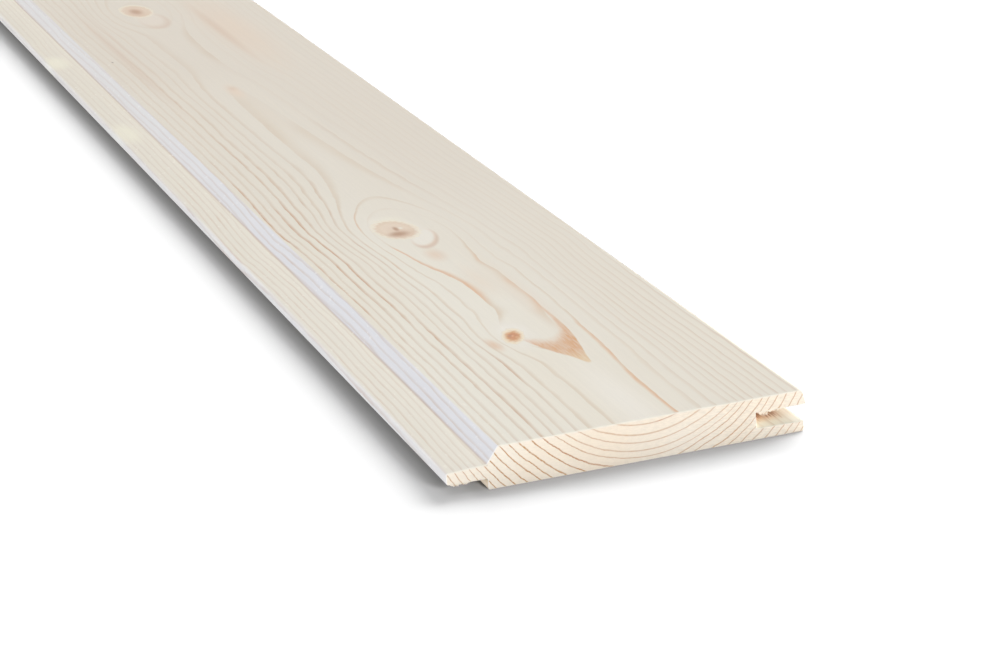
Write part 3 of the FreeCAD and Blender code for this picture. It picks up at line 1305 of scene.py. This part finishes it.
@dataclass
class Board:
    """The planed board, one length of wood with its tongue, groove and chamfer, sizes in millimetres.

    The last two fields are shares of the flat map that the finish is baked on.
    """

    tongue_reach: float = 13.5
    tongue_root: float = 4.9
    tongue_nose: float = 3.9
    nose_droop: float = 0.4
    clear_above_tongue: float = 0.5
    clear_below_tongue: float = 0.1
    clear_at_nose: float = 3.6
    groove_narrowing: float = 0.2
    upper_lip: float = 5.0
    lower_lip_setback: float = 1.0
    lip_land: float = 1.2
    lip_slant: float = 0.9
    chamfer_run: float = 4.1
    eased_arris: float = 1.5
    nose_top_radius: float = 1.0
    nose_bottom_radius: float = 0.6
    chamfer_arris_radius: float = 0.6
    corner_radius: float = 0.3
    back_arris_radius: float = 0.8
    degrees_per_side: float = 15.0
    end_arris: float = 0.18
    stations: int = 160
    map_end_band: float = 0.24
    map_margin: float = 0.006

    @property
    def groove_top(self) -> float:
        """The height of the groove's upper side."""
        return BOARD_THICKNESS / MM - self.upper_lip

    @property
    def groove_wall(self) -> float:
        """The place across the board of the groove's bottom."""
        return BOARD_WIDTH / MM - self.tongue_reach - self.clear_at_nose

    @property
    def tongue_top(self) -> float:
        """The height of the tongue's upper side at its root."""
        return self.groove_top - self.clear_above_tongue

    @property
    def tongue_bottom(self) -> float:
        """The height of the tongue's lower side at its root."""
        return self.tongue_top - self.tongue_root

    def corners(self) -> list[Corner]:
        """List the section's corners.

        Returns:
            The corners in order round the board.
        """
        lip = BOARD_WIDTH / MM
        face = BOARD_THICKNESS / MM
        lower_lip = lip - self.lower_lip_setback
        groove_floor = self.tongue_bottom - self.clear_below_tongue
        nose_top = self.tongue_top - (self.tongue_root - self.tongue_nose + self.nose_droop) / 2
        tight = self.corner_radius
        return [
            Corner(self.tongue_reach, 0.0, tight),
            Corner(lower_lip, 0.0, self.back_arris_radius),
            Corner(lower_lip, groove_floor, tight),
            Corner(self.groove_wall, groove_floor + self.groove_narrowing, tight),
            Corner(self.groove_wall, self.groove_top, tight),
            Corner(lip, self.groove_top, tight),
            Corner(lip, self.groove_top + self.lip_land, tight),
            Corner(lip - self.lip_slant, face, self.eased_arris),
            Corner(self.tongue_reach + self.chamfer_run, face, self.chamfer_arris_radius),
            Corner(self.tongue_reach, self.tongue_top, tight),
            Corner(0.0, nose_top, self.nose_top_radius),
            Corner(0.0, nose_top - self.tongue_nose, self.nose_bottom_radius),
            Corner(self.tongue_reach, self.tongue_bottom, tight),
        ]

    def outline(self) -> list[Vector]:
        """Round the section's corners.

        Returns:
            The points of the section in metres, X across and Z up, in order round the board.
        """
        corners = self.corners()
        points = []
        for index, corner in enumerate(corners):
            last, following = corners[index - 1], corners[(index + 1) % len(corners)]
            here = Vector((corner.across, corner.up))
            to_last = (Vector((last.across, last.up)) - here).normalized()
            to_next = (Vector((following.across, following.up)) - here).normalized()
            half_angle = to_last.angle(to_next) / 2
            centre = here + (to_last + to_next).normalized() * (corner.radius / math.sin(half_angle))
            start = here + to_last * (corner.radius / math.tan(half_angle)) - centre
            turn = math.pi - 2 * half_angle
            if start.x * to_last.y - start.y * to_last.x > 0:
                turn = -turn
            sides = max(2, round(abs(math.degrees(turn)) / self.degrees_per_side))
            for step in range(sides + 1):
                place = centre + Matrix.Rotation(turn * step / sides, 2) @ start
                points.append(Vector((place.x * MM + BOARD_LOW[0], 0.0, place.y * MM + BOARD_LOW[2])))
        return points

    def section_mesh(self) -> bpy.types.Mesh:
        """Make a ring of edges along the section.

        Returns:
            The ring, with the distance round the board kept at each point.
        """
        points = self.outline()
        mesh = bpy.data.meshes.new("board_section")
        edges = [(index, (index + 1) % len(points)) for index in range(len(points))]
        mesh.from_pydata(points, edges, [])
        round_board = mesh.attributes.new("round_board", "FLOAT", "POINT")
        gone = 0.0
        for index, point in enumerate(points):
            round_board.data[index].value = gone
            gone += (points[(index + 1) % len(points)] - point).length
        return mesh

    def sweep_tree(self) -> bpy.types.NodeTree:
        """Build the tree that runs the section along the board and eases the arris of both ends.

        Returns:
            A geometry tree that takes the section and gives the board.
        """
        inputs = {
            "Length": TreeInput.NUMBER,
            "End Arris": TreeInput.NUMBER,
            "Stations": TreeInput.COUNT,
            "Material": TreeInput.MATERIAL,
        }
        tree = geometry_tree("board_sweep", inputs)
        bench = NodeBench(tree)
        given = bench.add("NodeGroupInput").outputs
        half = bench.times(given["Length"], 0.5)
        near_end = bench.combine(0.0, bench.times(half, -1.0), 0.0)
        line = {"Start": near_end, "End": bench.combine(0.0, half, 0.0)}
        path = bench.first("GeometryNodeCurvePrimitiveLine", line)
        path = bench.first("GeometryNodeResampleCurve", {"Curve": path, "Count": given["Stations"]})
        step = bench.first("GeometryNodeInputIndex")
        second = bench.math("COMPARE", step, 1.0, 0.5)
        last_but_one = bench.math("COMPARE", step, bench.math("SUBTRACT", given["Stations"], 2.0), 0.5)
        _, along, _ = bench.separate(bench.first("GeometryNodeInputPosition"))
        inner = bench.times(bench.math("SIGN", along), bench.math("SUBTRACT", half, given["End Arris"]))
        shift = {
            "Geometry": path,
            "Selection": bench.math("MAXIMUM", second, last_but_one),
            "Position": bench.combine(0.0, inner, 0.0),
        }
        path = bench.first("GeometryNodeSetPosition", shift)
        profile = bench.first("GeometryNodeMeshToCurve", {"Mesh": given["Geometry"]})
        upright = {"Geometry": profile, "Rotation": (math.pi / 2, 0.0, 0.0)}
        profile = bench.first("GeometryNodeTransform", upright)
        sweep = {"Curve": path, "Profile Curve": profile, "Fill Caps": True}
        solid = bench.first("GeometryNodeFlipFaces", {"Mesh": bench.first("GeometryNodeCurveToMesh", sweep)})
        normal = bench.separate(bench.first("GeometryNodeInputNormal"))
        sideways = bench.vector("NORMALIZE", bench.combine(normal[0], 0.0, normal[2]))
        scale = {0: sideways, "Scale": bench.times(given["End Arris"], -1.0)}
        beside_end = bench.math("SUBTRACT", half, bench.times(given["End Arris"], 0.5))
        easing = {
            "Geometry": solid,
            "Selection": bench.math("GREATER_THAN", bench.math("ABSOLUTE", along), beside_end),
            "Offset": bench.first("ShaderNodeVectorMath", scale, operation="SCALE"),
        }
        solid = bench.first("GeometryNodeSetPosition", easing)
        solid = bench.first("GeometryNodeRealizeInstances", {"Geometry": solid})
        solid = bench.first("GeometryNodeSetMaterial", {"Geometry": solid, "Material": given["Material"]})
        solid = bench.first("GeometryNodeSetShadeSmooth", {"Geometry": solid, "Shade Smooth": False})
        bench.add("NodeGroupOutput", {"Geometry": solid})
        return tree

    def is_end(self, face: bpy.types.MeshPolygon) -> bool:
        """Tell a sawn end, with all the section's points as its corners, from the four-cornered sides."""
        return len(face.vertices) > 4

    def map_end(self, places: list[Vector], floor: float) -> list[tuple[float, float]]:
        """Lay one sawn end out flat.

        Args:
            places: The corners of the end.
            floor: The height on the map where the end's band starts.

        Returns:
            Each corner's place on the map.
        """
        scale = (1 - 2 * self.map_margin) / BOARD_WIDTH
        left, bottom = self.map_margin, floor + self.map_margin
        return [((p.x - BOARD_LOW[0]) * scale + left, (p.z - BOARD_LOW[2]) * scale + bottom) for p in places]

    def map_side(self, places: list[Vector], rounds: list[float], whole: float) -> list[tuple[float, float]]:
        """Lay one face of the sides out flat, above the band of the ends.

        Args:
            places: The face's corners.
            rounds: How far round the board each corner lies.
            whole: The distance right round the board.

        Returns:
            Each corner's place on the map.
        """
        width = (1 - 2 * self.map_margin) / whole
        height = (1 - self.map_end_band - 2 * self.map_margin) / BOARD_LENGTH
        if max(rounds) - min(rounds) > whole / 2:
            rounds = [gone + whole if gone < whole / 2 else gone for gone in rounds]
        left, bottom = self.map_margin, self.map_end_band + self.map_margin
        return [
            (gone * width + left, (place.y - BOARD_LOW[1]) * height + bottom)
            for gone, place in zip(rounds, places, strict=True)
        ]

    def map_faces(self, mesh: bpy.types.Mesh) -> None:
        """Lay the faces out flat: the sides drawn out along the grain, and the two ends in a band below.

        Args:
            mesh: The board's mesh, with the distance round the board at each point.
        """
        around = [item.value for item in mesh.attributes["round_board"].data]
        whole = max(around) + BOARD_WIDTH * MM
        layer = mesh.uv_layers.new(name="OFBake")
        for face in mesh.polygons:
            places = [mesh.vertices[index].co for index in face.vertices]
            if self.is_end(face):
                spots = self.map_end(places, self.map_end_band / 2 if face.normal.y > 0 else 0.0)
            else:
                spots = self.map_side(places, [around[index] for index in face.vertices], whole)
            for loop, spot in zip(face.loop_indices, spots, strict=True):
                layer.data[loop].uv = spot

    def build(self, planed: bpy.types.Material, sawn: bpy.types.Material) -> bpy.types.Object:
        """Make the board.

        Args:
            planed: The finish of the planed sides.
            sawn: The finish of the two sawn ends.

        Returns:
            The board, one closed mesh.
        """
        values = {
            "Length": BOARD_LENGTH,
            "End Arris": self.end_arris * MM,
            "Stations": self.stations,
            "Material": planed,
        }
        board = grow("board_wood", self.section_mesh(), self.sweep_tree(), values)
        board.data.materials.append(sawn)
        for face in board.data.polygons:
            if self.is_end(face):
                face.material_index = 1
        self.map_faces(board.data)
        return board


@dataclass(frozen=True)
class TornRun:
    """A run of torn fibres along a lower arris of the near end.

    Attributes:
        points: Places along the run, each as across, up and how far the fibres hang down there.
    """

    points: tuple[tuple[float, float, float], ...]


@dataclass
class TornFibres:
    """The fibres that the saw left hanging at the near end, sizes in millimetres and turns in radians."""

    runs: tuple[TornRun, ...] = (
        TornRun(
            (
                (104.4, 9.05, 0.2), (105.2, 9.05, 1.2), (106.2, 9.05, 2.0), (107.7, 9.05, 2.2),
                (108.2, 9.05, 0.8), (109.0, 9.05, 1.3), (109.5, 9.05, 0.7), (110.3, 9.05, 1.2),
                (110.8, 9.05, 0.6), (111.5, 9.05, 1.4), (112.0, 9.05, 0.4), (112.7, 9.05, 0.8),
                (113.4, 9.05, 0.15),
            )
        ),
        TornRun(
            (
                (1.2, 3.75, 0.3), (2.4, 3.75, 1.1), (3.6, 3.75, 1.2), (4.8, 3.72, 0.5), (6.2, 3.7, 1.0),
                (8.0, 3.68, 0.3),
            )
        ),
        TornRun(((114.0, 9.0, 0.12), (119.6, 9.0, 0.3))),
    )
    inset: float = 0.62
    spacing: float = 0.11
    root_radius: float = 0.26
    sides: int = 5
    least_share: float = 0.4
    lean_across: float = 0.3
    lean_along: float = 0.1
    seed: int = 7

    def base_mesh(self) -> bpy.types.Mesh:
        """Make a line along each run.

        Returns:
            The lines, with the reach of the fibres kept at each point.
        """
        points, edges, reaches = [], [], []
        for run in self.runs:
            for index, (across, up, reach) in enumerate(run.points):
                if index:
                    edges.append((len(points) - 1, len(points)))
                place = (BOARD_LOW[0] + across * MM, BOARD_LOW[1] + self.inset * MM, BOARD_LOW[2] + up * MM)
                points.append(place)
                reaches.append(reach * MM)
        mesh = bpy.data.meshes.new("torn_runs")
        mesh.from_pydata(points, edges, [])
        mesh.attributes.new("reach", "FLOAT", "POINT").data.foreach_set("value", reaches)
        return mesh

    def tree(self) -> bpy.types.NodeTree:
        """Build the tree that hangs a tapered fibre at each step along the runs.

        Returns:
            A geometry tree that takes the lines and gives the fibres.
        """
        inputs = {
            "Spacing": TreeInput.NUMBER,
            "Root Radius": TreeInput.NUMBER,
            "Least Share": TreeInput.NUMBER,
            "Seed": TreeInput.COUNT,
            "Material": TreeInput.MATERIAL,
        }
        tree = geometry_tree("torn_fibres", inputs)
        bench = NodeBench(tree)
        given = bench.add("NodeGroupInput").outputs
        line = bench.first("GeometryNodeMeshToCurve", {"Mesh": given["Geometry"]})
        steps = {"Curve": line, "Length": given["Spacing"]}
        steps = bench.first("GeometryNodeResampleCurve", steps, mode="LENGTH")
        root = given["Root Radius"]
        cone = {"Vertices": self.sides, "Radius Top": 0.0, "Radius Bottom": root, "Depth": 1.0}
        fibre = bench.first("GeometryNodeMeshCone", cone)
        reach = bench.first("GeometryNodeInputNamedAttribute", {"Name": "reach"}, data_type="FLOAT")
        shares = {2: given["Least Share"], 3: 1.0, "Seed": given["Seed"]}
        share = bench.add("FunctionNodeRandomValue", shares, data_type="FLOAT").outputs[1]
        length = bench.times(reach, share)
        least_turn = (math.pi - self.lean_along, -self.lean_across, 0.0)
        most_turn = (math.pi + self.lean_along, self.lean_across, math.tau)
        turns = {0: least_turn, 1: most_turn, "Seed": given["Seed"]}
        hanging = {
            "Points": steps,
            "Instance": fibre,
            "Rotation": bench.first("FunctionNodeRandomValue", turns, data_type="FLOAT_VECTOR"),
            "Scale": bench.combine(1.0, 1.0, length),
        }
        fibres = bench.first("GeometryNodeInstanceOnPoints", hanging)
        fibres = bench.first("GeometryNodeRealizeInstances", {"Geometry": fibres})
        fibres = bench.first("GeometryNodeSetMaterial", {"Geometry": fibres, "Material": given["Material"]})
        bench.add("NodeGroupOutput", {"Geometry": fibres})
        return tree

    def build(self, sawn: bpy.types.Material) -> bpy.types.Object:
        """Make the torn fibres.

        Args:
            sawn: The finish of the sawn end.

        Returns:
            All the fibres as one piece.
        """
        values = {
            "Spacing": self.spacing * MM,
            "Root Radius": self.root_radius * MM,
            "Least Share": self.least_share,
            "Seed": self.seed,
            "Material": sawn,
        }
        return grow("torn_fibres", self.base_mesh(), self.tree(), values)


@dataclass(frozen=True)
class Softbox:
    """A distant lamp.

    Attributes:
        name: The lamp's name.
        azimuth: The side that its light comes from: 0 is in front of the near end, and 90 is the groove side.
        elevation: The height that its light comes from.
        level: The light it gives on a surface that faces it, 1 being plain white light.
        spread: The angle it fills, which softens its shadow.
        colour: Its colour.
    """

    name: str
    azimuth: float
    elevation: float
    level: float
    spread: float
    colour: Colour = (1.0, 1.0, 1.0)


@dataclass
class PhotoStudio:
    """The white ground, the lamps and the camera, with places in metres and angles in degrees."""

    camera_place: tuple[float, float, float] = (-0.3167, -2.0179, 0.3584)
    camera_azimuth: float = -16.014
    camera_elevation: float = 17.028
    camera_roll: float = -5.118
    sensor_width: float = 36.0
    lens: float = 122.55
    nearest_seen: float = 0.05
    farthest_seen: float = 500.0
    ground_size: float = 300.0
    ground_seen: float = 0.2
    ground_felt: float = 0.18
    sky_level: float = 0.27
    board_lamps: tuple[Softbox, ...] = (
        Softbox("key_softbox", 150.0, 50.0, 0.59, 40.0),
        Softbox("near_end_softbox", -12.0, 12.0, 0.45, 20.0),
        Softbox("tongue_side_softbox", -92.0, 3.0, 0.88, 20.0, (0.54, 0.64, 0.96)),
        Softbox("groove_side_softbox", 88.0, 13.0, 0.2, 12.0, (1.0, 0.92, 0.82)),
    )
    ground_lamps: tuple[Softbox, ...] = (
        Softbox("ground_dome", 0.0, 90.0, 1.1, 120.0),
        Softbox("ground_back_softbox", 128.0, 13.4, 11.2, 70.0),
        Softbox("ground_front_softbox", 8.4, 17.4, 3.2, 12.0),
        Softbox("ground_side_softbox", -122.0, 21.5, 1.25, 13.0),
    )
    strip_off: float = 0.08
    strip_height: float = 0.013
    strip_length: float = 0.09
    strip_width: float = 0.01
    strip_tilt: float = 80.0
    strip_power: float = 0.178

    def ground(self) -> bpy.types.Object:
        """Lay the white ground that takes the board's shadow.

        Returns:
            The ground.
        """
        half = self.ground_size / 2
        corners = [(-half, -half, 0), (half, -half, 0), (half, half, 0), (-half, half, 0)]
        mesh = bpy.data.meshes.new("ground")
        mesh.from_pydata(corners, [], [(0, 1, 2, 3)])
        ground = bpy.data.objects.new("ground", mesh)
        bpy.context.scene.collection.objects.link(ground)
        material, bench = blank_material("white_ground")
        level = bench.either(self.seen(bench), self.ground_felt, self.ground_seen)
        shader = bench.first("ShaderNodeBsdfDiffuse", {"Color": bench.combine(level, level, level)})
        bench.add("ShaderNodeOutputMaterial", {"Surface": shader})
        mesh.materials.append(material)
        return ground

    def seen(self, bench: NodeBench) -> Socket:
        """Tell the rays that show the background from those that light the scene.

        Args:
            bench: The tree to build in.

        Returns:
            1 for the camera's rays, reflected ones and those through glass, and 0 for the others.
        """
        rays = bench.add("ShaderNodeLightPath").outputs
        shiny = bench.math("MAXIMUM", rays["Is Glossy Ray"], rays["Is Transmission Ray"])
        return bench.math("MAXIMUM", rays["Is Camera Ray"], shiny)

    def sky(self) -> None:
        """Light the scene evenly from all round, and show white behind it."""
        world = bpy.data.worlds.new("white_sky")
        world.use_nodes = True
        world.node_tree.nodes.clear()
        bench = NodeBench(world.node_tree)
        strength = bench.either(self.seen(bench), self.sky_level, 1.0)
        shader = bench.first("ShaderNodeBackground", {"Color": (1.0, 1.0, 1.0, 1.0), "Strength": strength})
        bench.add("ShaderNodeOutputWorld", {"Surface": shader})
        bpy.context.scene.world = world

    def towards(self, azimuth: float, elevation: float) -> Vector:
        """Point at a side and a height.

        Args:
            azimuth: The side: 0 is in front of the near end, and 90 is the groove side.
            elevation: The height above the ground.

        Returns:
            The direction, of length 1.
        """
        side, height = math.radians(azimuth), math.radians(elevation)
        level = math.cos(height)
        return Vector((math.sin(side) * level, -math.cos(side) * level, math.sin(height)))

    def hang(self, data: bpy.types.Light, lit: bpy.types.Collection) -> bpy.types.Object:
        """Put a lamp in the scene.

        Args:
            data: The lamp's settings.
            lit: The only objects that it lights.

        Returns:
            The lamp.
        """
        lamp = bpy.data.objects.new(data.name, data)
        bpy.context.scene.collection.objects.link(lamp)
        lamp.light_linking.receiver_collection = lit
        return lamp

    def sun(self, softbox: Softbox, lit: bpy.types.Collection) -> None:
        """Hang a distant lamp.

        Args:
            softbox: The lamp's values.
            lit: The only objects that it lights.
        """
        data = bpy.data.lights.new(softbox.name, "SUN")
        data.energy = softbox.level * math.pi
        data.angle = math.radians(softbox.spread)
        data.color = softbox.colour
        source = self.towards(softbox.azimuth, softbox.elevation)
        self.hang(data, lit).rotation_euler = source.to_track_quat("Z", "Y").to_euler()

    def strip(self, lit: bpy.types.Collection) -> None:
        """Lay a low lamp, which the camera doesn't see, beside the groove's near end.

        Args:
            lit: The only objects that it lights.
        """
        data = bpy.data.lights.new("groove_strip", "AREA")
        data.shape = "RECTANGLE"
        data.size, data.size_y = self.strip_length, self.strip_width
        data.energy = self.strip_power
        lamp = self.hang(data, lit)
        middle = BOARD_LOW[1] + self.strip_length / 2
        lamp.location = (BOARD_HIGH[0] + self.strip_off, middle, self.strip_height)
        lamp.rotation_euler = (math.radians(self.strip_tilt), 0.0, math.pi / 2)
        lamp.visible_camera = False

    def camera(self) -> None:
        """Set up the camera where the photograph was taken from."""
        data = bpy.data.cameras.new("photo_camera")
        data.sensor_width = self.sensor_width
        data.lens = self.lens
        data.clip_start = self.nearest_seen
        data.clip_end = self.farthest_seen
        camera = bpy.data.objects.new("photo_camera", data)
        back = self.towards(self.camera_azimuth, self.camera_elevation).to_track_quat("Z", "Y")
        turn = back.to_matrix() @ Matrix.Rotation(math.radians(self.camera_roll), 3, "Z")
        camera.matrix_world = Matrix.Translation(self.camera_place) @ turn.to_4x4()
        bpy.context.scene.collection.objects.link(camera)
        bpy.context.scene.camera = camera

    def build(self, pieces: list[bpy.types.Object]) -> None:
        """Set up everything round the board.

        Args:
            pieces: The board's pieces, which are lit apart from the ground.
        """
        board_only, ground_only = gather("board_pieces", pieces), gather("ground_only", [self.ground()])
        self.sky()
        for softbox in self.board_lamps:
            self.sun(softbox, board_only)
        self.strip(board_only)
        for softbox in self.ground_lamps:
            self.sun(softbox, ground_only)
        self.camera()
        bpy.context.scene.view_settings.view_transform = "Standard"


def gather(name: str, members: list[bpy.types.Object]) -> bpy.types.Collection:
    """Put objects in a new collection as well, for the lamps that light only them.

    Args:
        name: The collection's name.
        members: The objects.

    Returns:
        The collection.
    """
    collection = bpy.data.collections.new(name)
    for member in members:
        collection.objects.link(member)
    return collection


def report(piece: bpy.types.Object) -> None:
    """Log a finished piece with its count of faces and its size.

    Args:
        piece: The piece.
    """
    size = ", ".join(f"{side / MM:.1f}" for side in piece.dimensions)
    LOG.info("%s: %d faces, %s mm", piece.name, len(piece.data.polygons), size)


def main() -> None:
    """Build the board, dress it and light it."""
    logging.basicConfig(level=logging.INFO, format="%(name)s: %(message)s")
    log = SpruceLog().build()
    planed, sawn = PLANED_FACE.build(log), SAWN_END.build(log)
    board = Board().build(planed, sawn)
    fibres = TornFibres().build(sawn)
    for piece in (board, fibres):
        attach(piece, "root")
        report(piece)
    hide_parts("board")
    PhotoStudio().build([board, fibres])


if __name__ == "__main__":
    main()
